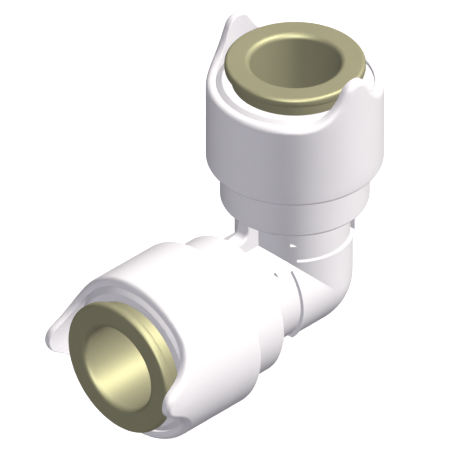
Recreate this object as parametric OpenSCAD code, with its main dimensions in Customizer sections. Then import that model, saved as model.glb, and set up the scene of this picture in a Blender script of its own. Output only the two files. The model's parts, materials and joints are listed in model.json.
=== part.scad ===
// Push-fit equal elbow for plastic tube, lying flat on its side
//
// Two equal arms leave one corner, along +X and along +Y. Every piece of an arm is drawn along
// +Z from the point where the two tube axes cross, with its ears on the Y axis. on_arm() then
// lays it along its own arm, and the whole fitting is moved so that it stands on z = 0.
// A name that ends in _s is a distance from the crossing of the axes along the arm, and one
// that ends in _r is a radius round the arm's axis.

/* [Tube] */
// Outside diameter of the tube that each end takes
tube_d = 12; // [11:0.1:13]
// Radial clearance between the tube and the holes that guide it
tube_clear = 0.1; // [0.05:0.05:0.2]
// Bore of the waterway behind the tube stops
water_d = 9.5; // [8:0.1:10.5]

/* [Body] */
// Wall of the elbow pipe round the waterway
pipe_wall = 3.15; // [2.6:0.05:3.4]
// Distance from the crossing of the axes to the ledge where each neck starts
ledge_s = 6.45; // [5.5:0.05:7]
// Length of the neck between the ledge and the collar
neck_len = 5.5; // [4.5:0.1:7]
// Wall of the neck round the tube's hole
neck_wall = 2.05; // [1.6:0.05:2.6]
// Depth of the recess in each of the neck's two sides
recess_depth = 0.6; // [0.3:0.05:0.9]
// Width of the recess next to the ledge
recess_w = 11.1; // [8:0.1:11.4]
// Width that each side of the recess gains at its shelf
shelf_w = 0.65; // [0.3:0.05:1]
// Distance from the ledge to the recess's shelf
shelf_len = 2.55; // [1.5:0.05:3.5]
// Distance from the crossing of the axes to the stop that the tube rests on
stop_s = 10.7; // [9.5:0.1:11.5]
// Length of the hole that guides the tube's end
guide_len = 4.8; // [4:0.1:6]
// Wall of the socket that holds the collet
socket_wall = 1.55; // [1.2:0.05:1.8]
// Length of the collar that shows between the neck and the end cap
collar_len = 6.35; // [5:0.05:7]
// Thickness of the rib in the inner corner
rib_t = 2.2; // [1.4:0.1:4]
// Distance from the crossing of the axes to the rib's free sides
rib_reach = 10.05; // [8.5:0.05:10.05]
// Radius of the hollow where the rib's two free sides meet
rib_hollow = 1.2; // [1.1:0.1:1.8]
// Radius of the rib's free edges
rib_round = 0.35; // [0.1:0.05:0.6]
// Height of the band under each ledge
band_len = 0.3; // [0.1:0.05:0.8]
// Radius of the lower edges of the collars and the end caps
edge_round = 0.25; // [0.1:0.05:0.4]

/* [Seal] */
// Thickness of the O-ring's section
oring_t = 2.3; // [2:0.05:2.5]
// How far the O-ring's hole is smaller than the tube, on the radius
oring_grip = 0.1; // [0:0.05:0.25]
// Radial clearance round the O-ring in its seat
oring_clear = 0.05; // [0.02:0.01:0.1]
// Clearance along the axis on each side of the O-ring
oring_play = 0.15; // [0.05:0.05:0.4]
// Width of the step that the spacer washer rests on
seat_step = 0.35; // [0.25:0.05:0.6]
// Thickness of the spacer washer
spacer_t = 1.4; // [1:0.1:2]
// Bevel that leads the tube into the spacer washer
spacer_bevel = 0.5; // [0.2:0.1:0.8]
// Radial clearance of the spacer washer, inside and outside
spacer_clear = 0.05; // [0.03:0.01:0.1]

/* [Collet] */
// How far the collet is pressed in to let the tube go
travel = 1.5; // [1:0.1:2]
// Wall of the collet's fingers
finger_wall = 1.2; // [1:0.05:1.4]
// Height of the fingers' barbs
barb_h = 0.9; // [0.7:0.05:1.1]
// Length of the tapered nose in front of each barb
nose_len = 1.9; // [1.4:0.1:2.6]
// Length of the barb's full width
barb_len = 1; // [0.6:0.1:1.5]
// Wall of the collet's stem
stem_wall = 2.4; // [2:0.05:2.8]
// Width of the flange outside the stem
flange_w = 1.05; // [0.6:0.05:1.5]
// Thickness of the flange
flange_t = 1.3; // [1:0.05:1.8]
// Radius of the flange's outer edge
flange_round = 0.5; // [0.2:0.05:0.8]
// Radius of the edge of the collet's bore
bore_round = 0.8; // [0.4:0.05:1.1]
// Radius of the flange's lower edge
foot_round = 0.12; // [0.05:0.01:0.3]
// Number of fingers, and of grip teeth
fingers = 6; // [4:1:8]
// Width of the slots between the fingers
slot_w = 1.2; // [0.8:0.1:1.6]
// Gap that is left ahead of every stop when the collet is pressed in
press_gap = 0.3; // [0.2:0.05:0.5]

/* [Grip teeth] */
// Thickness of the tooth's sheet
tooth_t = 0.3; // [0.2:0.05:0.4]
// Width of the tooth across its finger
tooth_w = 2.6; // [1.6:0.1:3]
// Lean of the tooth towards the tube stop, from straight across
tooth_lean = 30; // [20:1:35]
// How far the tooth's edge bites into the tube, on the radius
tooth_bite = 0.1; // [0.05:0.05:0.3]
// How far the tooth's root stands back from the top of the barb, on the radius
tooth_cover = 0.5; // [0.35:0.05:0.8]
// Clearance all round the tooth in its pocket
tooth_clear = 0.02; // [0.01:0.01:0.05]

/* [End cap] */
// Radial clearance between the socket and the cap's skirt
skirt_clear = 0.05; // [0.03:0.01:0.1]
// Wall of the cap's skirt
skirt_wall = 1.85; // [1.4:0.05:2.4]
// Angle of the cone that squeezes the fingers, from the axis
cam_angle = 30; // [25:1:35]
// Clearance between the cone and the fingers' barbs, square to the cone
cam_clear = 0.08; // [0.05:0.01:0.15]
// Radial clearance between the fingers and the lip that holds them
lip_clear = 0.15; // [0.1:0.05:0.3]
// Length of the lip that holds the fingers
lip_len = 1.55; // [1:0.05:2]
// Radial clearance round the collet's stem
stem_clear = 0.1; // [0.05:0.05:0.2]
// Depth of the cap's mouth round the stem
mouth_len = 3.7; // [3:0.1:4.5]
// Radius of the bead that snaps into the socket's groove
bead_r = 0.35; // [0.2:0.05:0.45]
// Distance from the bead to the skirt's open end
bead_len = 2.6; // [1.5:0.1:3.2]

/* [Crown] */
// Wall of the crown
crown_wall = 1.33; // [1:0.01:1.6]
// Radius of the crown's outer edge
crown_round = 0.8; // [0.4:0.05:0.9]
// How far the crown's low stretches lie under the rim's floor
crown_drop = 0.2; // [0:0.05:0.4]
// Depth of the groove inside the crown, from the rim's floor
groove_depth = 0.7; // [0.45:0.05:1]
// Width of the slope from the rim's floor into the groove
groove_w = 0.77; // [0.4:0.01:1]
// Height of the two ears over the crown's low stretches
ear_rise = 5.45; // [4:0.05:6.5]
// Radius of an ear's tip
ear_tip_r = 2.2; // [1.6:0.05:2.8]
// Radius of the hollow at an ear's foot
ear_foot_r = 6.3; // [5:0.1:7]
// Slope of an ear's flanks, from level
ear_slope = 60; // [54:1:66]

/* [Hidden] */
$fn = 96;
ARMS = [1, 2];

// Part of the barb's height that the fingers' ends keep
nose_share = 0.2;

// Colours, as the photo shows them
white_plastic = [0.94, 0.94, 0.96];
olive_plastic = [0.66, 0.64, 0.47];
black_rubber = [0.1, 0.1, 0.1];
grey_plastic = [0.35, 0.35, 0.36];
steel = [0.75, 0.76, 0.78];

// A cut runs this far past the solid that it cuts, and a buried end this far into it
over = 1;
bury = 0.3;
// The crown's wall stands back by this much where it enters the cap, so that no faces coincide
inset = 0.02;

// Radii, from the tube outwards
tube_r = tube_d / 2;
bore_r = tube_r + tube_clear;
water_r = water_d / 2;
pipe_r = water_r + pipe_wall;
neck_r = bore_r + neck_wall;
recess_r = neck_r - recess_depth;
oring_in_r = tube_r - oring_grip;
oring_mid_r = oring_in_r + oring_t / 2;
seal_r = oring_in_r + oring_t + oring_clear;
finger_r = bore_r + finger_wall;
barb_r = finger_r + barb_h;
nose_r = finger_r + nose_share * barb_h;
stem_r = bore_r + stem_wall;
flange_r = stem_r + flange_w;
mouth_r = stem_r + stem_clear;
lip_r = finger_r + lip_clear;
chamber_r = max(seal_r + seat_step, barb_r + spacer_clear + lip_clear, mouth_r);
socket_r = chamber_r + socket_wall;
skirt_r = socket_r + skirt_clear;
cap_r = skirt_r + skirt_wall;
crown_r = cap_r - crown_wall;
slope_r = crown_r - groove_w;

// Stations along the arm, from the crossing of the axes outwards
collar_s = ledge_s + neck_len;
shelf_s = ledge_s + shelf_len;
cap_s = collar_s + collar_len;
seal_s = stop_s + guide_len;
seat_s = seal_s + oring_t + 2 * oring_play;
spacer_s = seat_s + spacer_t;
nose_s = spacer_s + press_gap + travel;
barb_s = nose_s + nose_len;
barb_end_s = barb_s + barb_len;
cam_grow = 1 / tan(cam_angle);
socket_s = barb_end_s + cam_clear / sin(cam_angle) - (chamber_r - barb_r) * cam_grow;
lip_s = socket_s + (chamber_r - lip_r) * cam_grow;
lip_end_s = lip_s + lip_len;
stem_s = lip_end_s + press_gap + travel;
floor_s = lip_end_s + mouth_len;
flange_s = floor_s + press_gap + travel;
face_s = flange_s + flange_t;
crown_s = floor_s - crown_drop;
groove_s = floor_s - groove_depth;
rim_s = crown_s - crown_round;
ear_s = crown_s + ear_rise;
bead_s = cap_s + bead_len;
// Where the back of a barb meets its finger
barb_back_s = barb_end_s + barb_h * cam_grow;
// The slots end inside the lip, where the stem hides them
slot_end_s = barb_back_s;

// The fitting's origin is under the middle of its outline, on the surface that it lies on
reach = max(ear_s, face_s);
middle = (reach - cap_r) / 2;

// Lays what is drawn along +Z on arm 1, along +X, or on arm 2, its mirror image along +Y
module on_arm(i) {
    translate([-middle, -middle, cap_r])
        mirror(i == 1 ? [0, 0, 0] : [1, -1, 0])
            rotate([90, 0, 90]) children();
}

// A profile turned round the arm's axis, from [radius, station] points
module turned(points) {
    rotate_extrude() polygon(points);
}

// What a rounded edge takes off a profile's corner at [x, y]. At turn 0 the corner points
// outwards and up, at -90 outwards and down, and at 90 inwards and up.
module edge_cut(x, y, r, turn) {
    translate([x, y]) rotate(turn) translate([-r, -r]) difference() {
        square(r + over);
        circle(r = r);
    }
}

// Body: pipe corner, rib, necks and sockets

module neck() {
    translate([0, 0, ledge_s - bury]) cylinder(r = recess_r, h = neck_len + 2 * bury);
    difference() {
        translate([0, 0, ledge_s - band_len]) cylinder(r = neck_r, h = band_len + neck_len + bury);
        recess_cut(recess_w, ledge_s, collar_s);
        recess_cut(recess_w + 2 * shelf_w, shelf_s, collar_s);
    }
}

// The recess is open on both sides of the neck, so one cut runs through both
module recess_cut(width, from_s, to_s) {
    translate([-width / 2, -cap_r, from_s]) cube([width, 2 * cap_r, to_s - from_s]);
}

module arm_outside() {
    cylinder(r = pipe_r, h = ledge_s);
    neck();
    difference() {
        socket();
        snap_groove();
    }
}

module socket() {
    rotate_extrude() difference() {
        translate([0, collar_s]) square([socket_r, socket_s - collar_s]);
        edge_cut(socket_r, collar_s, edge_round, -90);
    }
}

module snap_groove() {
    rotate_extrude() translate([skirt_r, bead_s]) circle(r = bead_r + skirt_clear);
}

module arm_inside() {
    cylinder(r = water_r, h = stop_s + over);
    translate([0, 0, stop_s]) cylinder(r = bore_r, h = guide_len + over);
    translate([0, 0, seal_s]) cylinder(r = seal_r, h = seat_s - seal_s + over);
    translate([0, 0, seat_s]) cylinder(r = chamber_r, h = socket_s - seat_s + over);
}

// The rib fills the inner corner between the two collars, and its free edges are rounded
module rib() {
    end = collar_s + edge_round + bury;
    start = rib_reach + rib_hollow;
    translate([-middle, -middle, cap_r]) difference() {
        translate([0, 0, -rib_t / 2]) linear_extrude(rib_t) difference() {
            square(end);
            translate([rib_reach, start]) square(end);
            translate([start, rib_reach]) square(end);
            translate([start, start]) circle(r = rib_hollow);
        }
        for (side = [0, 1]) mirror([0, 0, side]) {
            translate([start, start, 0]) rotate(180) rotate_extrude(angle = 90)
                edge_cut(rib_hollow, rib_t / 2, rib_round, 90);
            for (turn = [0, 1]) mirror([turn, -turn, 0])
                translate([start, 0, 0]) rotate([90, 0, 90]) linear_extrude(end)
                    edge_cut(rib_reach, rib_t / 2, rib_round, 0);
        }
    }
}

module corner(r) {
    translate([-middle, -middle, cap_r]) sphere(r = r);
}

module body() {
    color(white_plastic) difference() {
        union() {
            corner(pipe_r);
            rib();
            for (i = ARMS) on_arm(i) arm_outside();
        }
        corner(water_r);
        for (i = ARMS) on_arm(i) arm_inside();
    }
}

// End cap: skirt, cone, lip and mouth are turned, and the crown is lofted on top

// Under the crown the cap stops at a step inside the crown's wall, and the slope of the rim's
// groove runs on a little into that wall.
step_r = crown_r + crown_wall / 2;
step_s = groove_s - inset * groove_depth / groove_w;

cap_section = [
    [skirt_r, cap_s],
    [cap_r, cap_s],
    [cap_r, rim_s],
    [step_r, rim_s],
    [step_r, step_s],
    [crown_r + inset, step_s],
    [slope_r, floor_s],
    [mouth_r, floor_s],
    [mouth_r, lip_end_s],
    [lip_r, lip_end_s],
    [lip_r, lip_s],
    [chamber_r, socket_s],
    [skirt_r, socket_s]
];

module cap_turned() {
    rotate_extrude() difference() {
        polygon(cap_section);
        edge_cut(cap_r, cap_s, edge_round, -90);
    }
    rotate_extrude() translate([skirt_r, bead_s]) circle(r = bead_r);
}

// Half of the ear's edge as seen from the side, from its middle outwards. Each entry is
// [x, height over the low stretch, angle of the edge's outward normal from level].
tip_steps = 5;
flank_steps = 2;
foot_steps = 7;
flank_rise = ear_rise - (ear_tip_r + ear_foot_r) * (1 - cos(ear_slope));
flank_run = flank_rise / tan(ear_slope);
foot_x = (ear_tip_r + ear_foot_r) * sin(ear_slope) + flank_run;
function tip_edge(k) = let (t = ear_slope * k / tip_steps)
    [ear_tip_r * sin(t), ear_rise - ear_tip_r * (1 - cos(t)), 90 - t];
function flank_edge(k) = let (u = k / flank_steps)
    [ear_tip_r * sin(ear_slope) + flank_run * u,
     ear_foot_r * (1 - cos(ear_slope)) + flank_rise * (1 - u),
     90 - ear_slope];
function foot_edge(k) = let (t = ear_slope * (1 - k / foot_steps))
    [foot_x - ear_foot_r * sin(t), ear_foot_r * (1 - cos(t)), 90 - t];
ear_half = concat(
    [for (k = [0:tip_steps]) tip_edge(k)],
    [for (k = [1:flank_steps]) flank_edge(k)],
    [for (k = [1:foot_steps]) foot_edge(k)]
);

// The crown's wall is a closed band of columns. Each column runs from the foot of the outer
// face, over the rounded edge and the flat top, to the foot of the inner face. On an ear the
// rounding is square to the edge, and x is the same at the outer and the inner face, as in a
// crown cut straight across.
round_steps = 4;
crown_out_r = cap_r - inset;
crown_foot = groove_s - over - crown_s;
function on_ear(r, x, height) = [x, sqrt(r * r - x * x), crown_s + height];
function ear_column(edge) = let (
        x = edge[0],
        h = edge[1],
        out = [cos(edge[2]), sin(edge[2])]
    ) concat(
        [on_ear(crown_out_r, x - crown_round * out[0], crown_foot)],
        [for (k = [0:round_steps]) let (
                t = 90 * k / round_steps,
                back = crown_round * (1 - sin(t)),
                in = crown_round * (1 - cos(t))
            ) on_ear(crown_out_r - in, x - back * out[0], h - back * out[1])],
        [on_ear(crown_r, x, h), on_ear(crown_r, x, crown_foot)]
    );

// Between the ears the columns are spaced evenly, at share u of the way from ear to ear
low_steps = 22;
function on_low(r, u, height) = let (
        start = asin(foot_x / r),
        a = start + (180 - 2 * start) * u
    ) [r * sin(a), r * cos(a), crown_s + height];
function low_column(u) = concat(
    [on_low(crown_out_r, u, crown_foot)],
    [for (k = [0:round_steps]) let (t = 90 * k / round_steps)
        on_low(crown_out_r - crown_round * (1 - cos(t)), u, -crown_round * (1 - sin(t)))],
    [on_low(crown_r, u, 0), on_low(crown_r, u, crown_foot)]
);

ear_last = len(ear_half) - 1;
half_columns = concat(
    [for (k = [0:ear_last - 1]) [for (p = ear_column(ear_half[ear_last - k])) [-p[0], p[1], p[2]]]],
    [for (edge = ear_half) ear_column(edge)],
    [for (k = [1:low_steps - 1]) low_column(k / low_steps)]
);
// The other half is the same, turned by half a turn
crown_columns = concat(
    half_columns,
    [for (column = half_columns) [for (p = column) [-p[0], -p[1], p[2]]]]
);

// Joins each column to the next, and a column's last point to its first
module band(columns) {
    n = len(columns);
    m = len(columns[0]);
    polyhedron(
        points = [for (column = columns) each column],
        faces = [for (i = [0:n - 1], j = [0:m - 1]) let (
                a = i * m + j,
                b = i * m + (j + 1) % m,
                c = ((i + 1) % n) * m + (j + 1) % m,
                d = ((i + 1) % n) * m + j
            ) each [[a, c, b], [a, d, c]]]
    );
}

module end_cap(i) {
    color(white_plastic) on_arm(i) {
        cap_turned();
        band(crown_columns);
    }
}

// Collet: flange, stem and slotted fingers, with a pocket for each tooth

module collet_turned() {
    rotate_extrude() difference() {
        polygon([
            [bore_r, nose_s],
            [nose_r, nose_s],
            [barb_r, barb_s],
            [barb_r, barb_end_s],
            [finger_r, barb_back_s],
            [finger_r, stem_s],
            [stem_r, stem_s],
            [stem_r, flange_s],
            [flange_r, flange_s],
            [flange_r, face_s],
            [bore_r, face_s]
        ]);
        edge_cut(flange_r, flange_s, foot_round, -90);
        edge_cut(flange_r, face_s, flange_round, 0);
        edge_cut(bore_r, face_s, bore_round, 90);
    }
}

// One slot, from the fingers' ends to its round end
module slot() {
    round_s = slot_end_s - slot_w / 2;
    translate([0, -slot_w / 2, nose_s - over]) cube([barb_r + over, slot_w, round_s - nose_s + over]);
    translate([0, 0, round_s]) rotate([0, 90, 0]) cylinder(r = slot_w / 2, h = barb_r + over);
}

module collet(i) {
    color(olive_plastic) on_arm(i) difference() {
        collet_turned();
        for (k = [1:fingers]) rotate(360 / fingers * k) {
            slot();
            rotate(180 / fingers) tooth(tooth_clear);
        }
    }
}

// Grip tooth: a sharpened sheet that leans towards the tube stop, its root in the barb
tooth_edge_r = tube_r - tooth_bite;
tooth_root_r = barb_r - tooth_cover;
tooth_len = (tooth_root_r - tooth_edge_r) / cos(tooth_lean);
tooth_s = barb_s + barb_len / 2 - tooth_len * sin(tooth_lean);

module tooth(grow) {
    half_t = tooth_t / 2 + grow;
    outline = [
        [-grow, 0],
        [tooth_t, half_t],
        [tooth_len + grow, half_t],
        [tooth_len + grow, -half_t],
        [tooth_t, -half_t]
    ];
    translate([tooth_edge_r, 0, tooth_s]) rotate([0, -tooth_lean, 0]) rotate([90, 0, 0])
        translate([0, 0, -tooth_w / 2 - grow]) linear_extrude(tooth_w + 2 * grow) polygon(outline);
}

module grip_tooth(i, k) {
    color(steel) on_arm(i) rotate(360 / fingers * k + 180 / fingers) tooth(0);
}

// Seal: the O-ring and the washer that keeps it in its seat

module o_ring(i) {
    color(black_rubber) on_arm(i) rotate_extrude()
        translate([oring_mid_r, (seal_s + seat_s) / 2]) circle(r = oring_t / 2);
}

module spacer_washer(i) {
    color(grey_plastic) on_arm(i) turned([
        [bore_r + spacer_clear, seat_s],
        [chamber_r - spacer_clear, seat_s],
        [chamber_r - spacer_clear, spacer_s],
        [bore_r + spacer_clear + spacer_bevel, spacer_s],
        [bore_r + spacer_clear, spacer_s - spacer_bevel]
    ]);
}

// Draw each node

body();
for (i = ARMS) {
    end_cap(i);
    collet(i);
    o_ring(i);
    spacer_washer(i);
    for (k = [1:fingers])
        grip_tooth(i, k);
}
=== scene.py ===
"""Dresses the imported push-fit elbow: lofted end caps with their eared crowns, slotted collets, seals,
washers and the moulded body, with their materials, on a pale floor under the photograph's camera.

Every shape of an arm is worked out in the arm's own coordinates and then laid along its arm by on_arm():
x lies in the plane of the two arms and points to the inside of the corner, y points at an ear, and z runs
out along the arm from the point where the two tube axes cross. A station is a z, and a radius is about the
z axis.
"""

import json

import bmesh
import bpy
import numpy as np
from bpy.props import FloatProperty, FloatVectorProperty, IntProperty, PointerProperty
from mathutils import Matrix, Vector

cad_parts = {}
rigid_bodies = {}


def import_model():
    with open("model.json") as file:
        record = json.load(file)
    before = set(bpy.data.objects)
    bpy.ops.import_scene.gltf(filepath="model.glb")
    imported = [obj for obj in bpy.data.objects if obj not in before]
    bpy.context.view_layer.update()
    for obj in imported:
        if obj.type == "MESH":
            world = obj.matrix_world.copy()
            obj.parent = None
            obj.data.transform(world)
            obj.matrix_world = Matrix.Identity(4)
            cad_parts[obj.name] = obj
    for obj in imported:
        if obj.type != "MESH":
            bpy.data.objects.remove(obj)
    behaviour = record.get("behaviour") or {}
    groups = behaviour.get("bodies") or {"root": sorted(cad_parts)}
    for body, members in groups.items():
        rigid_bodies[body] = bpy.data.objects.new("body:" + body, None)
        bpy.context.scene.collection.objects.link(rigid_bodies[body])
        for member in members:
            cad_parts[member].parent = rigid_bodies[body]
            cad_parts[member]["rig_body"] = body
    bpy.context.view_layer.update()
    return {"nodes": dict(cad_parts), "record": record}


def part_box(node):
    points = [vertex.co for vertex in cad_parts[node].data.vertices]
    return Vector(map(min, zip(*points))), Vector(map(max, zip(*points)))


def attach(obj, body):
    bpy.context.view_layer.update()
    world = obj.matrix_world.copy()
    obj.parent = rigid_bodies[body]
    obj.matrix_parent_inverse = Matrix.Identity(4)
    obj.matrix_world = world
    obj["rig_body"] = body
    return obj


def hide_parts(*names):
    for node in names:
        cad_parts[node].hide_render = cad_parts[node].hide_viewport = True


bl_info = {
    "name": "Push-fit Elbow",
    "version": (1, 0, 0),
    "blender": (4, 5, 0),
    "location": "3D View > Sidebar > Elbow",
    "description": "Smooth visible surfaces, materials and stage for a push-fit elbow fitting",
    "category": "Object",
}

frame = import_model()
ARMS = (1, 2)
MM = 0.001
# The field is measured this far in front of the crossing of the axes, where the nearer end stands
FIELD_AHEAD = 15 * MM


# Driving sizes that the frame already holds, in metres

def corners(node):
    """The least and the greatest corner of a CAD node's box."""
    low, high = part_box(node)
    return np.array(low), np.array(high)


CAP_LOW, CAP_HIGH = corners("end_cap_1")
COLLET_LOW, COLLET_HIGH = corners("collet_1")
BODY_LOW, BODY_HIGH = corners("body")
RING_LOW, RING_HIGH = corners("o_ring_1")
WASHER_LOW, WASHER_HIGH = corners("spacer_washer_1")
PORT = frame["record"]["mounts"][0]
# Arm 1 runs along +X, so its middle gives the axes' y and z, and arm 2 is the same with x and y exchanged
AXIS_Y = (CAP_LOW[1] + CAP_HIGH[1]) / 2
AXIS_Z = (CAP_LOW[2] + CAP_HIGH[2]) / 2
CROSSING = np.array([AXIS_Y, AXIS_Y, AXIS_Z])
CAP_R = (CAP_HIGH[2] - CAP_LOW[2]) / 2
CAP_S = CAP_LOW[0] - CROSSING[0]
EAR_S = CAP_HIGH[0] - CROSSING[0]
SOCKET_R = (BODY_HIGH[2] - BODY_LOW[2]) / 2
SOCKET_S = BODY_HIGH[0] - CROSSING[0]
# The pipe's sphere is what reaches lowest along x and y
PIPE_R = CROSSING[0] - BODY_LOW[0]
FLANGE_R = (COLLET_HIGH[2] - COLLET_LOW[2]) / 2
FACE_S = COLLET_HIGH[0] - CROSSING[0]
NOSE_S = COLLET_LOW[0] - CROSSING[0]
BORE_R = PORT["dims"]["r_mm"] * MM
RING_T = RING_HIGH[0] - RING_LOW[0]
RING_R = (RING_HIGH[2] - RING_LOW[2] - RING_T) / 2
RING_S = (RING_LOW[0] + RING_HIGH[0]) / 2 - CROSSING[0]
WASHER_R = (WASHER_HIGH[2] - WASHER_LOW[2]) / 2
WASHER_S = WASHER_LOW[0] - CROSSING[0]
WASHER_END_S = WASHER_HIGH[0] - CROSSING[0]
# A vertex lies on a surface within TOUCH, and points within WELD are one point
TOUCH = 2e-6
WELD = 1e-7


# Properties

def size(name, description, millimetres):
    """A length that a user may change, kept in metres and shown in the scene's unit."""
    return FloatProperty(
        name=name, description=description, default=millimetres * MM, unit="LENGTH", precision=5)


def angle(name, description, degrees):
    """An angle, given in degrees and kept in radians."""
    return FloatProperty(name=name, description=description, default=np.radians(degrees), subtype="ANGLE")


def share(name, description, default):
    """A share from 0 to 1."""
    return FloatProperty(
        name=name, description=description, default=default, min=0, max=1, subtype="FACTOR")


def strength(name, description, default):
    """A light's strength, which is never negative."""
    return FloatProperty(name=name, description=description, default=default, min=0, subtype="UNSIGNED")


def colour(name, description, default):
    """A colour as linear red, green and blue."""
    return FloatVectorProperty(
        name=name, description=description, default=default, size=3, min=0, max=1, subtype="COLOR")


class BodySizes(bpy.types.PropertyGroup):
    """The body's own edges"""

    cad_round: size("CAD rounding", "Radius that the CAD body has at the lower edges of its collars", 0.25)
    collar_round: size("Collar rounding", "Radius of the lower edges of the collars", 0.5)


class CapSizes(bpy.types.PropertyGroup):
    """The end cap's section and the shape of its crown"""

    skirt_clear: size("Skirt clearance", "Gap between the socket and the cap's skirt", 0.05)
    edge: size("Edge", "Radius of the cap's plain moulded edges", 0.12)
    foot_round: size("Lower edge", "Radius of the skirt's outer lower edge", 0.5)
    crown_wall: size("Crown wall", "Thickness of the crown's wall", 1.33)
    crown_round: size("Crown rounding", "Radius of the crown's outer edge", 0.8)
    crown_drop: size("Crown drop", "How far the crown's low stretches lie under the rim's floor", 0.2)
    groove_depth: size("Groove depth", "Depth of the groove inside the crown", 0.7)
    groove_width: size("Groove width", "Width of the slope from the floor into the groove", 0.77)
    ear_rise: size("Ear height", "Height of the ears over the crown's low stretches", 5.45)
    ear_tip: size("Ear tip", "Radius of an ear's tip", 2.2)
    ear_foot: size("Ear foot", "Radius of the hollow at an ear's foot", 6.3)
    ear_slope: angle("Ear slope", "Slope of an ear's flanks, from level", 60)
    mouth_r: size("Mouth", "Radius of the cap's mouth round the collet's stem", 8.6)
    lip_r: size("Lip", "Radius of the lip that holds the fingers", 7.45)
    mouth_depth: size("Mouth depth", "Distance from the rim's floor to the lip", 3.7)
    lip_len: size("Lip length", "Length of the lip along the arm", 1.55)
    bead_r: size("Bead", "Radius of the bead that snaps into the socket's groove", 0.35)
    bead_len: size("Bead's place", "Distance from the bead to the skirt's open end", 2.6)


class ColletSizes(bpy.types.PropertyGroup):
    """The collet's section and its slots"""

    stem_r: size("Stem", "Radius of the collet's stem", 8.5)
    finger_r: size("Fingers' radius", "Radius of the fingers", 7.3)
    barb_r: size("Barbs", "Radius of the fingers' barbs", 8.2)
    nose_r: size("Nose", "Radius of the fingers' ends", 7.48)
    flange_t: size("Flange", "Thickness of the flange", 1.3)
    flange_round: size("Flange rounding", "Radius of the flange's outer edge", 0.5)
    bore_round: size("Bore rounding", "Radius of the edge of the bore", 0.8)
    foot_round: size("Foot rounding", "Radius of the flange's lower edge", 0.3)
    root_round: size("Root rounding", "Radius of the hollow between the stem and the flange", 0.1)
    stem_len: size("Stem length", "Distance from the face to the stem's lower end", 5.0)
    nose_len: size("Nose length", "Length of the tapered nose", 1.9)
    barb_len: size("Barb length", "Length of the barb's full width", 1.0)
    barb_angle: angle("Barb angle", "Angle of the barb's back, from the axis", 30)
    slot_w: size("Slot", "Width of the slots between the fingers", 1.2)
    slot_end: size("Slot's end", "Distance from a slot's end to the end of the barb's back", 0.85)
    fingers: IntProperty(name="Fingers", description="Number of fingers", default=6, min=3, max=12)


class SealSizes(bpy.types.PropertyGroup):
    """The spacer washer's hole and edges"""

    washer_hole_r: size("Washer's hole", "Radius of the spacer washer's hole", 6.15)
    washer_bevel: size("Washer's bevel", "Bevel that leads the tube into the spacer washer", 0.5)
    washer_round: size("Washer's edges", "Radius of the spacer washer's outer edges", 0.12)


class Finishes(bpy.types.PropertyGroup):
    """Colours and gloss of the fitting's materials"""

    white: colour("White plastic", "Colour of the body and the end caps", (0.80, 0.80, 0.80))
    olive: colour("Olive plastic", "Colour of the collets", (0.245, 0.236, 0.153))
    rubber: colour("Rubber", "Colour of the O-rings", (0.012, 0.012, 0.013))
    grey: colour("Grey plastic", "Colour of the spacer washers", (0.10, 0.10, 0.105))
    steel: colour("Steel", "Colour of the grip teeth", (0.32, 0.31, 0.30))
    white_rough: share("White roughness", "Roughness of the white plastic", 0.48)
    olive_rough: share("Olive roughness", "Roughness of the olive plastic", 0.59)
    olive_glint: colour("Olive glint", "Tint of the olive plastic's gloss", (1.0, 1.0, 0.55))
    olive_index: FloatProperty(
        name="Olive index", description="Refractive index that sets how strong the olive gloss is",
        default=2.15, min=1)
    grain: size("Grain", "Size of the fine grain that the mould leaves", 0.12)
    grain_depth: size("Grain depth", "Depth of the fine grain", 0.001)


class StageSettings(bpy.types.PropertyGroup):
    """Camera, lights and floor"""

    view_azimuth: angle("View azimuth", "Angle of the view round the normal of the arms' plane", 45.47)
    view_elevation: angle("View elevation", "Angle of the view over the arms' plane", 35.44)
    lens: FloatProperty(
        name="Lens", description="Long focal length, for a nearly parallel view", default=1500.0,
        unit="CAMERA")
    field: size("Field", "Width of what the picture shows", 61.4)
    off_right: size("Crossing, right", "How far right of the picture's middle the axes cross", 9.107)
    off_down: size("Crossing, down", "How far under the picture's middle the axes cross", 5.378)
    key: strength("Key light", "Strength of the main light", 3.84)
    sky: strength("Sky", "Brightness of the background over the floor", 1.0)
    fill: strength("Fill lights", "Strength of each light of the even fill", 1.32)
    head: strength("Front light", "Strength of the light from the camera's side", 0.38)
    gloss: strength("Front gloss", "Strength of the camera-side light that only the gloss shows", 3.3)
    softness: angle("Softness", "Width of the lights as the fitting sees them", 6)


class ElbowSettings(bpy.types.PropertyGroup):
    """All settings of the fitting"""

    body: PointerProperty(type=BodySizes)
    cap: PointerProperty(type=CapSizes)
    collet: PointerProperty(type=ColletSizes)
    seal: PointerProperty(type=SealSizes)
    finish: PointerProperty(type=Finishes)
    stage: PointerProperty(type=StageSettings)


# Surfaces

def on_arm(points, arm):
    """Arm coordinates to the frame's: z runs along +X on arm 1 and along +Y on arm 2, x along the other of
    the two, and y along +Z."""
    x, y, z = points[..., 0], points[..., 1], points[..., 2]
    along_across = (z, x) if arm == 1 else (x, z)
    return np.stack([*along_across, y], axis=-1) + CROSSING


def turned(radius, angles, station):
    """Points at a radius and an angle about the z axis: (r sin a, r cos a, station), so the angle is
    counted from y towards x."""
    radius, angles, station = np.broadcast_arrays(radius, angles, station)
    return np.stack([radius * np.sin(angles), radius * np.cos(angles), station], axis=-1)


def lathe(section, columns=192):
    """A section of (radius, station) points turned round the axis: each of its points gives a row."""
    angles = np.linspace(0, 2 * np.pi, columns, endpoint=False)
    return turned(section[:, :1], angles[None, :], section[:, 1:])


def fillet(centre, radius, start, end, steps):
    """Radius and station of points on an arc in the section: centre + radius * (cos a, sin a), with a from
    start to end in degrees."""
    a = np.radians(np.linspace(start, end, steps + 1))
    return np.stack([centre[0] + radius * np.cos(a), centre[1] + radius * np.sin(a)], axis=-1)


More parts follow.
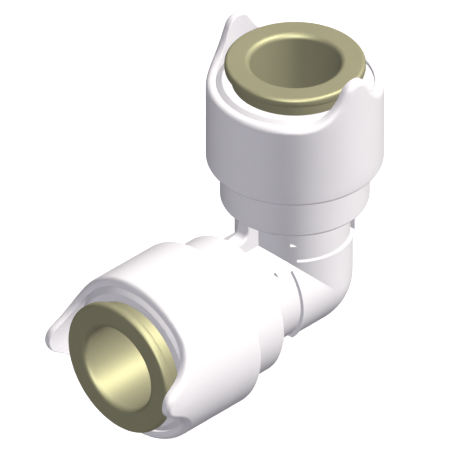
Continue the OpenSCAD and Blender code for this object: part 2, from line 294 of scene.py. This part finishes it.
def grid_faces(rows, columns):
    """Quads that join each point of a grid to the next row and the next column. Rows and columns both close
    on themselves, because every section here is a closed line that goes all the way round its arm."""
    row = np.arange(rows)[:, None]
    column = np.arange(columns)[None, :]
    next_row = (row + 1) % rows
    next_column = (column + 1) % columns
    quads = [row * columns + column, row * columns + next_column,
             next_row * columns + next_column, next_row * columns + column]
    return np.stack(np.broadcast_arrays(*quads), axis=-1).reshape(-1, 4)


def mesh_object(name, points, faces, sharp_angle=35):
    """A closed mesh with welded points, faces outwards, smooth but for edges sharper than the given
    degrees. Its normals follow its large faces, so that a rounded edge doesn't shade the flat next to it."""
    if not np.all(np.isfinite(points)):
        raise ValueError(f"the sizes of {name} don't fit each other")
    mesh = bpy.data.meshes.new(name)
    mesh.from_pydata(points.reshape(-1, 3), [], faces.tolist())
    shape = bmesh.new()
    shape.from_mesh(mesh)
    bmesh.ops.remove_doubles(shape, verts=shape.verts, dist=WELD)
    bmesh.ops.dissolve_degenerate(shape, edges=shape.edges, dist=WELD)
    bmesh.ops.recalc_face_normals(shape, faces=shape.faces)
    open_edges = sum(not edge.is_manifold for edge in shape.edges)
    shape.to_mesh(mesh)
    shape.free()
    if open_edges:
        raise RuntimeError(f"{name} isn't closed: {open_edges} edges don't join two faces")
    mesh.polygons.foreach_set("use_smooth", np.ones(len(mesh.polygons), dtype=bool))
    mesh.set_sharp_from_angle(angle=np.radians(sharp_angle))
    piece = bpy.data.objects.new(name, mesh)
    bpy.context.scene.collection.objects.link(piece)
    piece.modifiers.new("follow large faces", "WEIGHTED_NORMAL").keep_sharp = True
    return piece


def hand_over(piece, material, node):
    """Gives a new piece its material and slot, and puts it in a CAD node's place on that node's body."""
    piece.data.materials.append(material)
    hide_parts(node)
    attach(piece, frame["nodes"][node]["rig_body"])


def round_pieces(node, rows, material):
    """One piece on each arm from rows of points, in the place of the CAD nodes node_1 and node_2."""
    faces = grid_faces(*rows.shape[:2])
    for arm in ARMS:
        piece = mesh_object(f"{node}_{arm}_moulded", on_arm(rows, arm), faces)
        hand_over(piece, material, f"{node}_{arm}")


# End cap

class Crown:
    """The crown's edge seen from the side: a round tip, a straight flank, a hollow foot and a low stretch.
    The edge is kept as x across the ear, height h over the low stretch and the lean a of its outward normal,
    for one quarter of the crown; ring() lays it round the axis.

    With t and f as the radii of tip and foot, H as the ear's rise and X as the foot's end:
    tip: x = t sin a, h = H - t (1 - cos a); flank: a straight line at the ear's slope;
    foot: x = X - f sin a, h = f (1 - cos a)."""

    def __init__(self, cap, tip_steps=14, flank_steps=6, foot_steps=22, low_steps=56):
        slope = cap.ear_slope
        tip = np.linspace(0, slope, tip_steps + 1)
        foot = np.linspace(slope, 0, foot_steps + 1)
        both = cap.ear_tip + cap.ear_foot
        flank_rise = cap.ear_rise - both * (1 - np.cos(slope))
        flank_run = flank_rise / np.tan(slope)
        down = np.linspace(0, 1, flank_steps + 1)[1:-1]
        foot_x = both * np.sin(slope) + flank_run
        self.x = np.concatenate([
            cap.ear_tip * np.sin(tip),
            cap.ear_tip * np.sin(slope) + flank_run * down,
            foot_x - cap.ear_foot * np.sin(foot),
        ])
        self.h = np.concatenate([
            cap.ear_rise - cap.ear_tip * (1 - np.cos(tip)),
            cap.ear_foot * (1 - np.cos(slope)) + flank_rise * (1 - down),
            cap.ear_foot * (1 - np.cos(foot)),
        ])
        self.lean = np.concatenate([tip, np.full(len(down), slope), foot])
        self.share = np.linspace(0, 1, low_steps + 1)[1:-1]

    def ring(self, radius, back):
        """Angles and heights, all the way round, of the line at this radius that lies back from the edge,
        square to it. On an ear x / radius is the sine of the angle; between the feet the angle grows
        evenly."""
        quarter = np.arcsin((self.x - back * np.sin(self.lean)) / radius)
        height = self.h - back * np.cos(self.lean)
        foot = quarter[-1]
        low = foot + (np.pi - 2 * foot) * self.share
        angles = np.concatenate([quarter, low, np.pi - quarter[:0:-1]])
        heights = np.concatenate([height, np.full(len(low), -back), height[:0:-1]])
        return np.concatenate([angles, angles + np.pi]), np.concatenate([heights, heights])


def cap_rows(cap, wall_steps=7):
    """The end cap as rows of points from the skirt's open end up the outside, over the crown and down the
    inside. The crown's rows follow its edge, each as far back from it as its rounding's radius less the rise
    on the arc, and all others are circles."""
    crown = Crown(cap)
    crown_s = EAR_S - cap.ear_rise
    floor_s = crown_s + cap.crown_drop
    crown_r = CAP_R - cap.crown_wall
    slope_r = crown_r - cap.groove_width
    lip_end_s = floor_s - cap.mouth_depth
    lip_s = lip_end_s - cap.lip_len
    skirt_r = SOCKET_R + cap.skirt_clear
    edge = cap.edge
    foot = cap.foot_round
    wall_angles = crown.ring(CAP_R, cap.crown_round)[0]

    def circle(radius, station):
        return turned(radius, wall_angles, station)

    def along_edge(radius, back):
        angles, heights = crown.ring(radius, back)
        return turned(radius, angles, crown_s + heights)

    rows = [circle(*p) for p in fillet((CAP_R - foot, CAP_S + foot), foot, -90, 0, steps=5)]
    wall_s = np.linspace(CAP_S + foot, crown_s - cap.crown_round, wall_steps + 1)[1:-1]
    rows += [circle(CAP_R, station) for station in wall_s]
    for r, rise in fillet((CAP_R - cap.crown_round, 0), cap.crown_round, 0, 90, steps=8):
        rows.append(along_edge(r, cap.crown_round - rise))
    for r, rise in fillet((crown_r + edge, 0), edge, 90, 180, steps=3):
        rows.append(along_edge(r, edge - rise))
    inner_angles = crown.ring(crown_r, edge)[0]
    rows.append(turned(crown_r, inner_angles, floor_s - cap.groove_depth))
    section = [
        *fillet((slope_r - edge, floor_s - edge), edge, 45, 90, steps=2),
        *fillet((cap.mouth_r + edge, floor_s - edge), edge, 90, 180, steps=3),
        (cap.mouth_r, lip_end_s),
        *fillet((cap.lip_r + edge, lip_end_s - edge), edge, 90, 180, steps=3),
        (cap.lip_r, lip_s),
        (cap.mouth_r, SOCKET_S),
        (skirt_r, SOCKET_S),
        *fillet((skirt_r, CAP_S + cap.bead_len), cap.bead_r, 90, 270, steps=8),
        *fillet((skirt_r + edge, CAP_S + edge), edge, 180, 270, steps=3),
    ]
    rows += [circle(*p) for p in section]
    return np.array(rows)


class ELBOW_OT_end_caps(bpy.types.Operator):
    """Make the two end caps"""

    bl_idname = "elbow.end_caps"
    bl_label = "End caps"

    def execute(self, context):
        settings = context.scene.elbow
        finish = settings.finish
        material = moulded("white plastic of the end caps", finish.white, finish.white_rough, finish)
        round_pieces("end_cap", cap_rows(settings.cap), material)
        return {"FINISHED"}


# Collet

def collet_rows(collet, slot_steps=6, finger_steps=24):
    """The collet as rows of points along its closed section, from the fingers' ends up the outside and down
    the bore. Across a slot, v runs from -w/2 to w/2, the angle is arcsin(v / r), and every row of the
    fingers lies on the slot's round end, at its middle's station + sqrt((w/2)^2 - v^2). Across a finger the
    angle grows evenly from one slot to the next. The columns at a slot's two sides come twice, and its walls
    lie between them."""
    stem_s = FACE_S - collet.stem_len
    flange_s = FACE_S - collet.flange_t
    barb_s = NOSE_S + collet.nose_len
    barb_end_s = barb_s + collet.barb_len
    back_s = barb_end_s + (collet.barb_r - collet.finger_r) / np.tan(collet.barb_angle)
    half = collet.slot_w / 2
    middle_s = back_s - collet.slot_end - half

    def back_r(station):
        return collet.finger_r + (back_s - station) * np.tan(collet.barb_angle)

    fingers = np.array([
        (BORE_R, NOSE_S),
        (collet.nose_r, NOSE_S),
        (collet.barb_r, barb_s),
        (collet.barb_r, barb_end_s),
        (back_r(middle_s), middle_s),
    ])
    foot, outer, bore, root = collet.foot_round, collet.flange_round, collet.bore_round, collet.root_round
    stem = np.array([
        (collet.finger_r, back_s),
        (collet.finger_r, stem_s),
        (collet.stem_r, stem_s),
        *fillet((collet.stem_r + root, flange_s - root), root, 180, 90, steps=3),
        *fillet((FLANGE_R - foot, flange_s + foot), foot, -90, 0, steps=4),
        *fillet((FLANGE_R - outer, FACE_S - outer), outer, 0, 90, steps=8),
        *fillet((BORE_R + bore, FACE_S - bore), bore, 90, 180, steps=10),
        (BORE_R, stem_s),
    ])
    section = np.concatenate([fingers, stem])
    r, s = section[:, :1], section[:, 1:]

    v = np.linspace(-half, half, slot_steps + 1)
    end_s = middle_s + np.sqrt(np.maximum(half**2 - v**2, 0))
    slot_s = np.concatenate([np.tile(end_s, (len(fingers), 1)), np.tile(stem[:, 1:], len(v))])
    slot_r = np.concatenate([np.full((1, len(v)), BORE_R), np.tile(back_r(end_s), (len(fingers) - 1, 1)),
                             np.tile(stem[:, :1], len(v))])
    slot_angle = np.arcsin(v / slot_r)

    sector = 2 * np.pi / collet.fingers
    side = np.arcsin(half / r)
    finger_angle = side + (sector - 2 * side) * np.linspace(0, 1, finger_steps + 1)
    radius = np.concatenate([slot_r, np.broadcast_to(r, finger_angle.shape)], axis=1)
    station = np.concatenate([slot_s, np.broadcast_to(s, finger_angle.shape)], axis=1)
    angles = np.concatenate([slot_angle, finger_angle], axis=1)
    # The first slot points to the inside of the corner, along x
    starts = np.pi / 2 + sector * np.arange(collet.fingers)
    around = (starts[None, :, None] + angles[:, None, :]).reshape(len(section), -1)
    return turned(np.tile(radius, collet.fingers), around, np.tile(station, collet.fingers))


class ELBOW_OT_collets(bpy.types.Operator):
    """Make the two collets"""

    bl_idname = "elbow.collets"
    bl_label = "Collets"

    def execute(self, context):
        settings = context.scene.elbow
        finish = settings.finish
        material = moulded("olive plastic", finish.olive, finish.olive_rough, finish,
                           index=finish.olive_index, gloss=1.0, glint=finish.olive_glint)
        round_pieces("collet", collet_rows(settings.collet), material)
        return {"FINISHED"}


# Body

def softer_collars(points, hard, soft, reach=1.0 * MM):
    """The body's points with both collars' lower edges rounded further. With u as the depth under the
    collar's wall and v as the height over its foot, the CAD's rounding ends at u = hard and v = hard. There
    u and v grow by the factor soft / hard, and the foot's own points up to the depth reach move on evenly
    ahead of the rounding."""
    for along in (0, 1):
        offset = points - CROSSING
        radius = np.linalg.norm(np.delete(offset, along, axis=1), axis=1)
        station = offset[:, along]
        u = SOCKET_R - radius
        # So far out along this arm lies nothing of the other one
        outside = (station > SOCKET_R) & (u > -TOUCH)
        away_from_rib = offset[:, 1 - along] < 0
        foot = station[outside & away_from_rib & (u < hard + TOUCH)].min()
        v = station - foot
        rounded = outside & (u < hard + TOUCH) & (v > -TOUCH) & (v < hard + TOUCH)
        under = outside & ~rounded & (np.abs(v) < TOUCH) & (u < reach)
        wanted_u = np.where(rounded, u * soft / hard, soft + (u - hard) * (reach - soft) / (reach - hard))
        moved = CROSSING + offset * ((SOCKET_R - wanted_u) / radius)[:, None]
        moved[:, along] = CROSSING[along] + foot + np.where(rounded, v * soft / hard, v)
        points = np.where((rounded | under)[:, None], moved, points)
    return points


def places(mesh):
    """The places of a mesh's points, one row each."""
    points = np.empty(len(mesh.vertices) * 3)
    mesh.vertices.foreach_get("co", points)
    return points.reshape(-1, 3)


def keep_corner_sharp(mesh):
    """The line where the two arms' pipes meet stays sharp to its very ends, where they meet at no angle:
    these are the edges on the plane x = y, inside the corner and under the pipe's radius from the
    crossing."""
    x, y = (places(mesh)[:, :2] - CROSSING[:2]).T
    on_line = (np.abs(x - y) < TOUCH) & (x > -TOUCH) & (x < PIPE_R)
    edges = np.empty(len(mesh.edges) * 2, dtype=int)
    mesh.edges.foreach_get("vertices", edges)
    sharp = np.empty(len(mesh.edges), dtype=bool)
    mesh.edges.foreach_get("use_edge_sharp", sharp)
    mesh.edges.foreach_set("use_edge_sharp", sharp | on_line[edges.reshape(-1, 2)].all(axis=1))


class ELBOW_OT_body(bpy.types.Operator):
    """Make the moulded body"""

    bl_idname = "elbow.body"
    bl_label = "Body"

    def execute(self, context):
        sizes = context.scene.elbow.body
        finish = context.scene.elbow.finish
        material = moulded("white plastic of the body", finish.white, finish.white_rough, finish)
        solid = frame["nodes"]["body"].data
        triangles = np.empty(len(solid.polygons) * 3, dtype=int)
        solid.polygons.foreach_get("vertices", triangles)
        points = softer_collars(places(solid), sizes.cad_round, sizes.collar_round)
        piece = mesh_object("body_moulded", points, triangles.reshape(-1, 3))
        keep_corner_sharp(piece.data)
        hand_over(piece, material, "body")
        return {"FINISHED"}


# Seals and teeth

def washer_section(seal):
    """The spacer washer's section as (radius, station), with its bevel on the collet's side."""
    hole, bevel, edge = seal.washer_hole_r, seal.washer_bevel, seal.washer_round
    return np.array([
        (hole, WASHER_S),
        *fillet((WASHER_R - edge, WASHER_S + edge), edge, -90, 0, steps=3),
        *fillet((WASHER_R - edge, WASHER_END_S - edge), edge, 0, 90, steps=3),
        (hole + bevel, WASHER_END_S),
        (hole, WASHER_END_S - bevel),
    ])


class ELBOW_OT_seals(bpy.types.Operator):
    """Make the O-rings and the spacer washers"""

    bl_idname = "elbow.seals"
    bl_label = "O-rings and washers"

    def execute(self, context):
        settings = context.scene.elbow
        ring = fillet((RING_R, RING_S), RING_T / 2, 0, 360, steps=40)[:-1]
        round_pieces("o_ring", lathe(ring), rubber(settings.finish))
        washer = lathe(washer_section(settings.seal))
        grey = moulded("grey plastic", settings.finish.grey, settings.finish.olive_rough, settings.finish)
        round_pieces("spacer_washer", washer, grey)
        return {"FINISHED"}


class ELBOW_OT_teeth(bpy.types.Operator):
    """Give the grip teeth their steel"""

    bl_idname = "elbow.teeth"
    bl_label = "Grip teeth"

    def execute(self, context):
        teeth = [item for node, item in frame["nodes"].items() if node.startswith("grip_tooth")]
        if not teeth:
            raise RuntimeError("the frame holds no grip teeth")
        steel = stamped_steel(context.scene.elbow.finish)
        for tooth in teeth:
            tooth.data.materials.clear()
            tooth.data.materials.append(steel)
        return {"FINISHED"}


# Materials

# The Mix node's sockets for colours
MIX_FACTOR, MIX_FIRST, MIX_SECOND, MIX_RESULT = 0, 6, 7, 2


class Value:
    """An output of a material's node. An operator on it adds the Math node that works the result out."""

    def __init__(self, surface, socket):
        self.surface = surface
        self.socket = socket

    def maths(self, operation, first, second):
        return self.surface.node("ShaderNodeMath", {"operation": operation}, {0: first, 1: second})

    def __add__(self, other):
        return self.maths("ADD", self, other)

    def __radd__(self, other):
        return self.maths("ADD", other, self)

    def __sub__(self, other):
        return self.maths("SUBTRACT", self, other)

    def __rsub__(self, other):
        return self.maths("SUBTRACT", other, self)

    def __mul__(self, other):
        return self.maths("MULTIPLY", self, other)

    def __rmul__(self, other):
        return self.maths("MULTIPLY", other, self)


class Surface:
    """A material and its nodes. A finish writes what varies over the surface as an expression."""

    def __init__(self, name):
        self.material = bpy.data.materials.new(name)
        self.material.use_nodes = True
        self.nodes = self.material.node_tree.nodes
        self.shader = self.nodes["Principled BSDF"]

    def feed(self, socket, value):
        """Links a Value to a socket, or sets a plain number or colour on it."""
        if isinstance(value, Value):
            self.material.node_tree.links.new(value.socket, socket)
        else:
            socket.default_value = value

    def node(self, kind, settings, inputs, output=0):
        """Adds a node, makes its settings, feeds its sockets and gives back one of its outputs."""
        item = self.nodes.new(kind)
        for setting, value in settings.items():
            setattr(item, setting, value)
        for socket, value in inputs.items():
            self.feed(item.inputs[socket], value)
        return Value(self, item.outputs[output])

    def place(self, stretch=(1, 1, 1)):
        """The point on the object, with its axes stretched."""
        point = self.node("ShaderNodeTexCoord", {}, {}, "Object")
        return self.node("ShaderNodeMapping", {}, {"Vector": point, "Scale": stretch})

    def noise(self, place, feature, detail=2.0):
        """Soft noise from 0 to 1 whose spots are about as wide as feature."""
        inputs = {"Vector": place, "Scale": 1 / feature, "Detail": detail}
        return self.node("ShaderNodeTexNoise", {}, inputs)

    def between(self, factor, first, second):
        """A colour on the way from the first to the second."""
        inputs = {MIX_FACTOR: factor, MIX_FIRST: (*first, 1), MIX_SECOND: (*second, 1)}
        return self.node("ShaderNodeMix", {"data_type": "RGBA"}, inputs, MIX_RESULT)

    def bump(self, height, depth):
        """A normal that follows a height from 0 to 1, as deep as depth."""
        return self.node("ShaderNodeBump", {}, {"Strength": 1.0, "Distance": depth, "Height": height})

    def set(self, **inputs):
        """Feeds the shader's own sockets, named with _ for a space."""
        for name, value in inputs.items():
            self.feed(self.shader.inputs[name.replace("_", " ")], value)
        return self.material


def shades(base, spread):
    """A colour made darker and lighter by a share of itself."""
    base = np.array(base)
    return np.clip(base * (1 - spread), 0, 1), np.clip(base * (1 + spread), 0, 1)


def moulded(name, base, roughness, finish, index=1.5, gloss=0.5, glint=(1, 1, 1)):
    """Injection-moulded plastic: faint clouds of colour and gloss where the melt flowed, and a fine grain.
    The index and the gloss set how much it reflects, and the glint is the reflection's tint."""
    surface = Surface(name)
    place = surface.place()
    flow = surface.noise(place, feature=7 * MM)
    grain = surface.noise(place, finish.grain, detail=3.0)
    return surface.set(
        Base_Color=surface.between(flow, *shades(base, spread=0.02)),
        Roughness=roughness + 0.08 * (flow - 0.5) + 0.06 * (grain - 0.5),
        Normal=surface.bump(grain, finish.grain_depth),
        Specular_IOR_Level=gloss,
        IOR=index,
        Specular_Tint=(*glint, 1),
    )


def rubber(finish):
    """Black rubber with a dull bloom in patches and a fine skin."""
    surface = Surface("black rubber")
    place = surface.place()
    bloom = surface.noise(place, feature=1.2 * MM, detail=4.0)
    skin = surface.noise(place, feature=0.08 * MM)
    return surface.set(
        Base_Color=surface.between(bloom, *shades(finish.rubber, spread=0.35)),
        Roughness=0.5 + 0.25 * bloom,
        Normal=surface.bump(skin, depth=0.002 * MM),
    )


def stamped_steel(finish):
    """Stainless sheet, rolled along the arms' common normal: fine lines in its gloss and its height."""
    surface = Surface("stamped steel")
    lines = surface.noise(surface.place(stretch=(1, 1, 0.05)), feature=0.05 * MM, detail=3.0)
    return surface.set(
        Base_Color=surface.between(lines, *shades(finish.steel, spread=0.08)),
        Metallic=1.0,
        Roughness=0.5 + 0.2 * lines,
        Normal=surface.bump(lines, depth=0.001 * MM),
    )


# Stage

# Width of the camera's sensor in millimetres
SENSOR = 36.0
# Half the floor's side in metres, so far out that a level view doesn't meet the floor's edge
FLOOR_HALF = 8.0
# The lights' tints, and the side that the main light comes from
KEY_TINT = (1.0, 0.955, 0.917)
FILL_TINT = (0.945, 0.917, 1.0)
FRONT_TINT = (0.9, 0.85, 1.0)
NEUTRAL = (1.0, 1.0, 1.0)
KEY_SIDE = (0.80, -0.35, 0.46)
# The corners of a tetrahedron: lights there reach every side of the fitting about evenly
FILL_SIDES = ((1, 1, 1), (1, -1, -1), (-1, 1, -1), (-1, -1, 1))


def floor_material():
    """A pale ground that stays nearly white where little light reaches it."""
    surface = Surface("pale floor")
    cloud = surface.noise(surface.place(), feature=40 * MM)
    return surface.set(
        Base_Color=surface.between(cloud, (0.945,) * 3, (0.955,) * 3),
        Roughness=1.0,
        Specular_IOR_Level=0.0,
        Emission_Color=(1, 1, 1, 1),
        Emission_Strength=0.25,
    )


class ELBOW_OT_stage(bpy.types.Operator):
    """Make the floor, the lights and the photograph's camera"""

    bl_idname = "elbow.stage"
    bl_label = "Stage"

    def sun(self, name, energy, softness, tint, towards):
        """A broad light that casts no shadow, because the photograph shows none."""
        data = bpy.data.lights.new(name, "SUN")
        data.energy = energy
        data.color = tint
        data.angle = softness
        data.use_shadow = False
        light = bpy.data.objects.new(name, data)
        light.rotation_euler = Vector(towards).to_track_quat("Z", "Y").to_euler()
        bpy.context.scene.collection.objects.link(light)
        return light

    def camera(self, stage, back):
        """A long lens whose picture shows the field. Arm 1 points up in it, and the axes cross off its
        middle as photographed."""
        right = Vector((1, 0, 0)).cross(back).normalized()
        up = back.cross(right)
        data = bpy.data.cameras.new("photo camera")
        data.sensor_width = SENSOR
        data.lens = stage.lens
        distance = stage.field * stage.lens / data.sensor_width
        data.clip_end = 2 * distance
        eye = bpy.data.objects.new("photo camera", data)
        turn = Matrix((right, up, back)).transposed().to_4x4()
        turn.translation = Vector(CROSSING) - right * stage.off_right + up * stage.off_down
        turn.translation += back * (distance + FIELD_AHEAD)
        eye.matrix_world = turn
        return eye

    def sky(self, scene, brightness):
        """An even white background that throws no light on the fitting."""
        world = bpy.data.worlds.new("sky")
        scene.world = world
        world.use_nodes = True
        background = world.node_tree.nodes["Background"]
        background.inputs["Color"].default_value = (1, 1, 1, 1)
        background.inputs["Strength"].default_value = brightness
        world.cycles_visibility.diffuse = False
        world.cycles_visibility.glossy = False

    def lights(self, stage, back):
        """An even fill, the main light, and two from the camera's side, the second for the gloss alone."""
        for number, towards in enumerate(FILL_SIDES, 1):
            fill = self.sun(f"fill {number}", stage.fill, stage.softness, FILL_TINT, towards)
            fill.visible_glossy = False
        self.sun("key", stage.key, stage.softness, KEY_TINT, KEY_SIDE)
        self.sun("front", stage.head, stage.softness, FRONT_TINT, back)
        gloss = self.sun("front gloss", stage.gloss, stage.softness, NEUTRAL, back)
        gloss.visible_diffuse = False

    def floor(self):
        """The ground that the fitting lies on. It isn't seen in the fitting's gloss."""
        square = [(x * FLOOR_HALF, y * FLOOR_HALF, 0) for x, y in ((-1, -1), (1, -1), (1, 1), (-1, 1))]
        mesh = bpy.data.meshes.new("floor")
        mesh.from_pydata(square, [], [(0, 1, 2, 3)])
        mesh.materials.append(floor_material())
        floor = bpy.data.objects.new("floor", mesh)
        floor.visible_diffuse = False
        floor.visible_glossy = False
        return floor

    def execute(self, context):
        scene = context.scene
        stage = scene.elbow.stage
        scene.view_settings.view_transform = "Standard"
        # The photograph's shading has no light that surfaces throw on each other
        scene.cycles.max_bounces = 0
        a, e = stage.view_azimuth, stage.view_elevation
        back = Vector((np.cos(a) * np.cos(e), np.sin(a) * np.cos(e), np.sin(e)))
        scene.camera = self.camera(stage, back)
        scene.collection.objects.link(scene.camera)
        self.sky(scene, stage.sky)
        self.lights(stage, back)
        floor = self.floor()
        scene.collection.objects.link(floor)
        return {"FINISHED"}


OPERATORS = (
    ELBOW_OT_stage, ELBOW_OT_body, ELBOW_OT_end_caps, ELBOW_OT_collets, ELBOW_OT_seals, ELBOW_OT_teeth)


class ELBOW_PT_sidebar(bpy.types.Panel):
    """The steps that make the fitting, and its settings"""

    bl_idname = "ELBOW_PT_sidebar"
    bl_label = "Push-fit Elbow"
    bl_space_type = "VIEW_3D"
    bl_region_type = "UI"
    bl_category = "Elbow"

    def draw(self, context):
        for operator in OPERATORS:
            self.layout.operator(operator.bl_idname)
        settings = context.scene.elbow
        for part in settings.__annotations__:
            group = getattr(settings, part)
            box = self.layout.box()
            for name in group.__annotations__:
                box.prop(group, name)


GROUPS = (BodySizes, CapSizes, ColletSizes, SealSizes, Finishes, StageSettings, ElbowSettings)
CLASSES = (*GROUPS, *OPERATORS, ELBOW_PT_sidebar)


def register():
    for item in CLASSES:
        bpy.utils.register_class(item)
    bpy.types.Scene.elbow = PointerProperty(type=ElbowSettings)


def unregister():
    del bpy.types.Scene.elbow
    for item in reversed(CLASSES):
        bpy.utils.unregister_class(item)


def main():
    register()
    bpy.ops.elbow.stage()
    bpy.ops.elbow.body()
    bpy.ops.elbow.end_caps()
    bpy.ops.elbow.collets()
    bpy.ops.elbow.seals()
    bpy.ops.elbow.teeth()


if __name__ == "__main__":
    main()
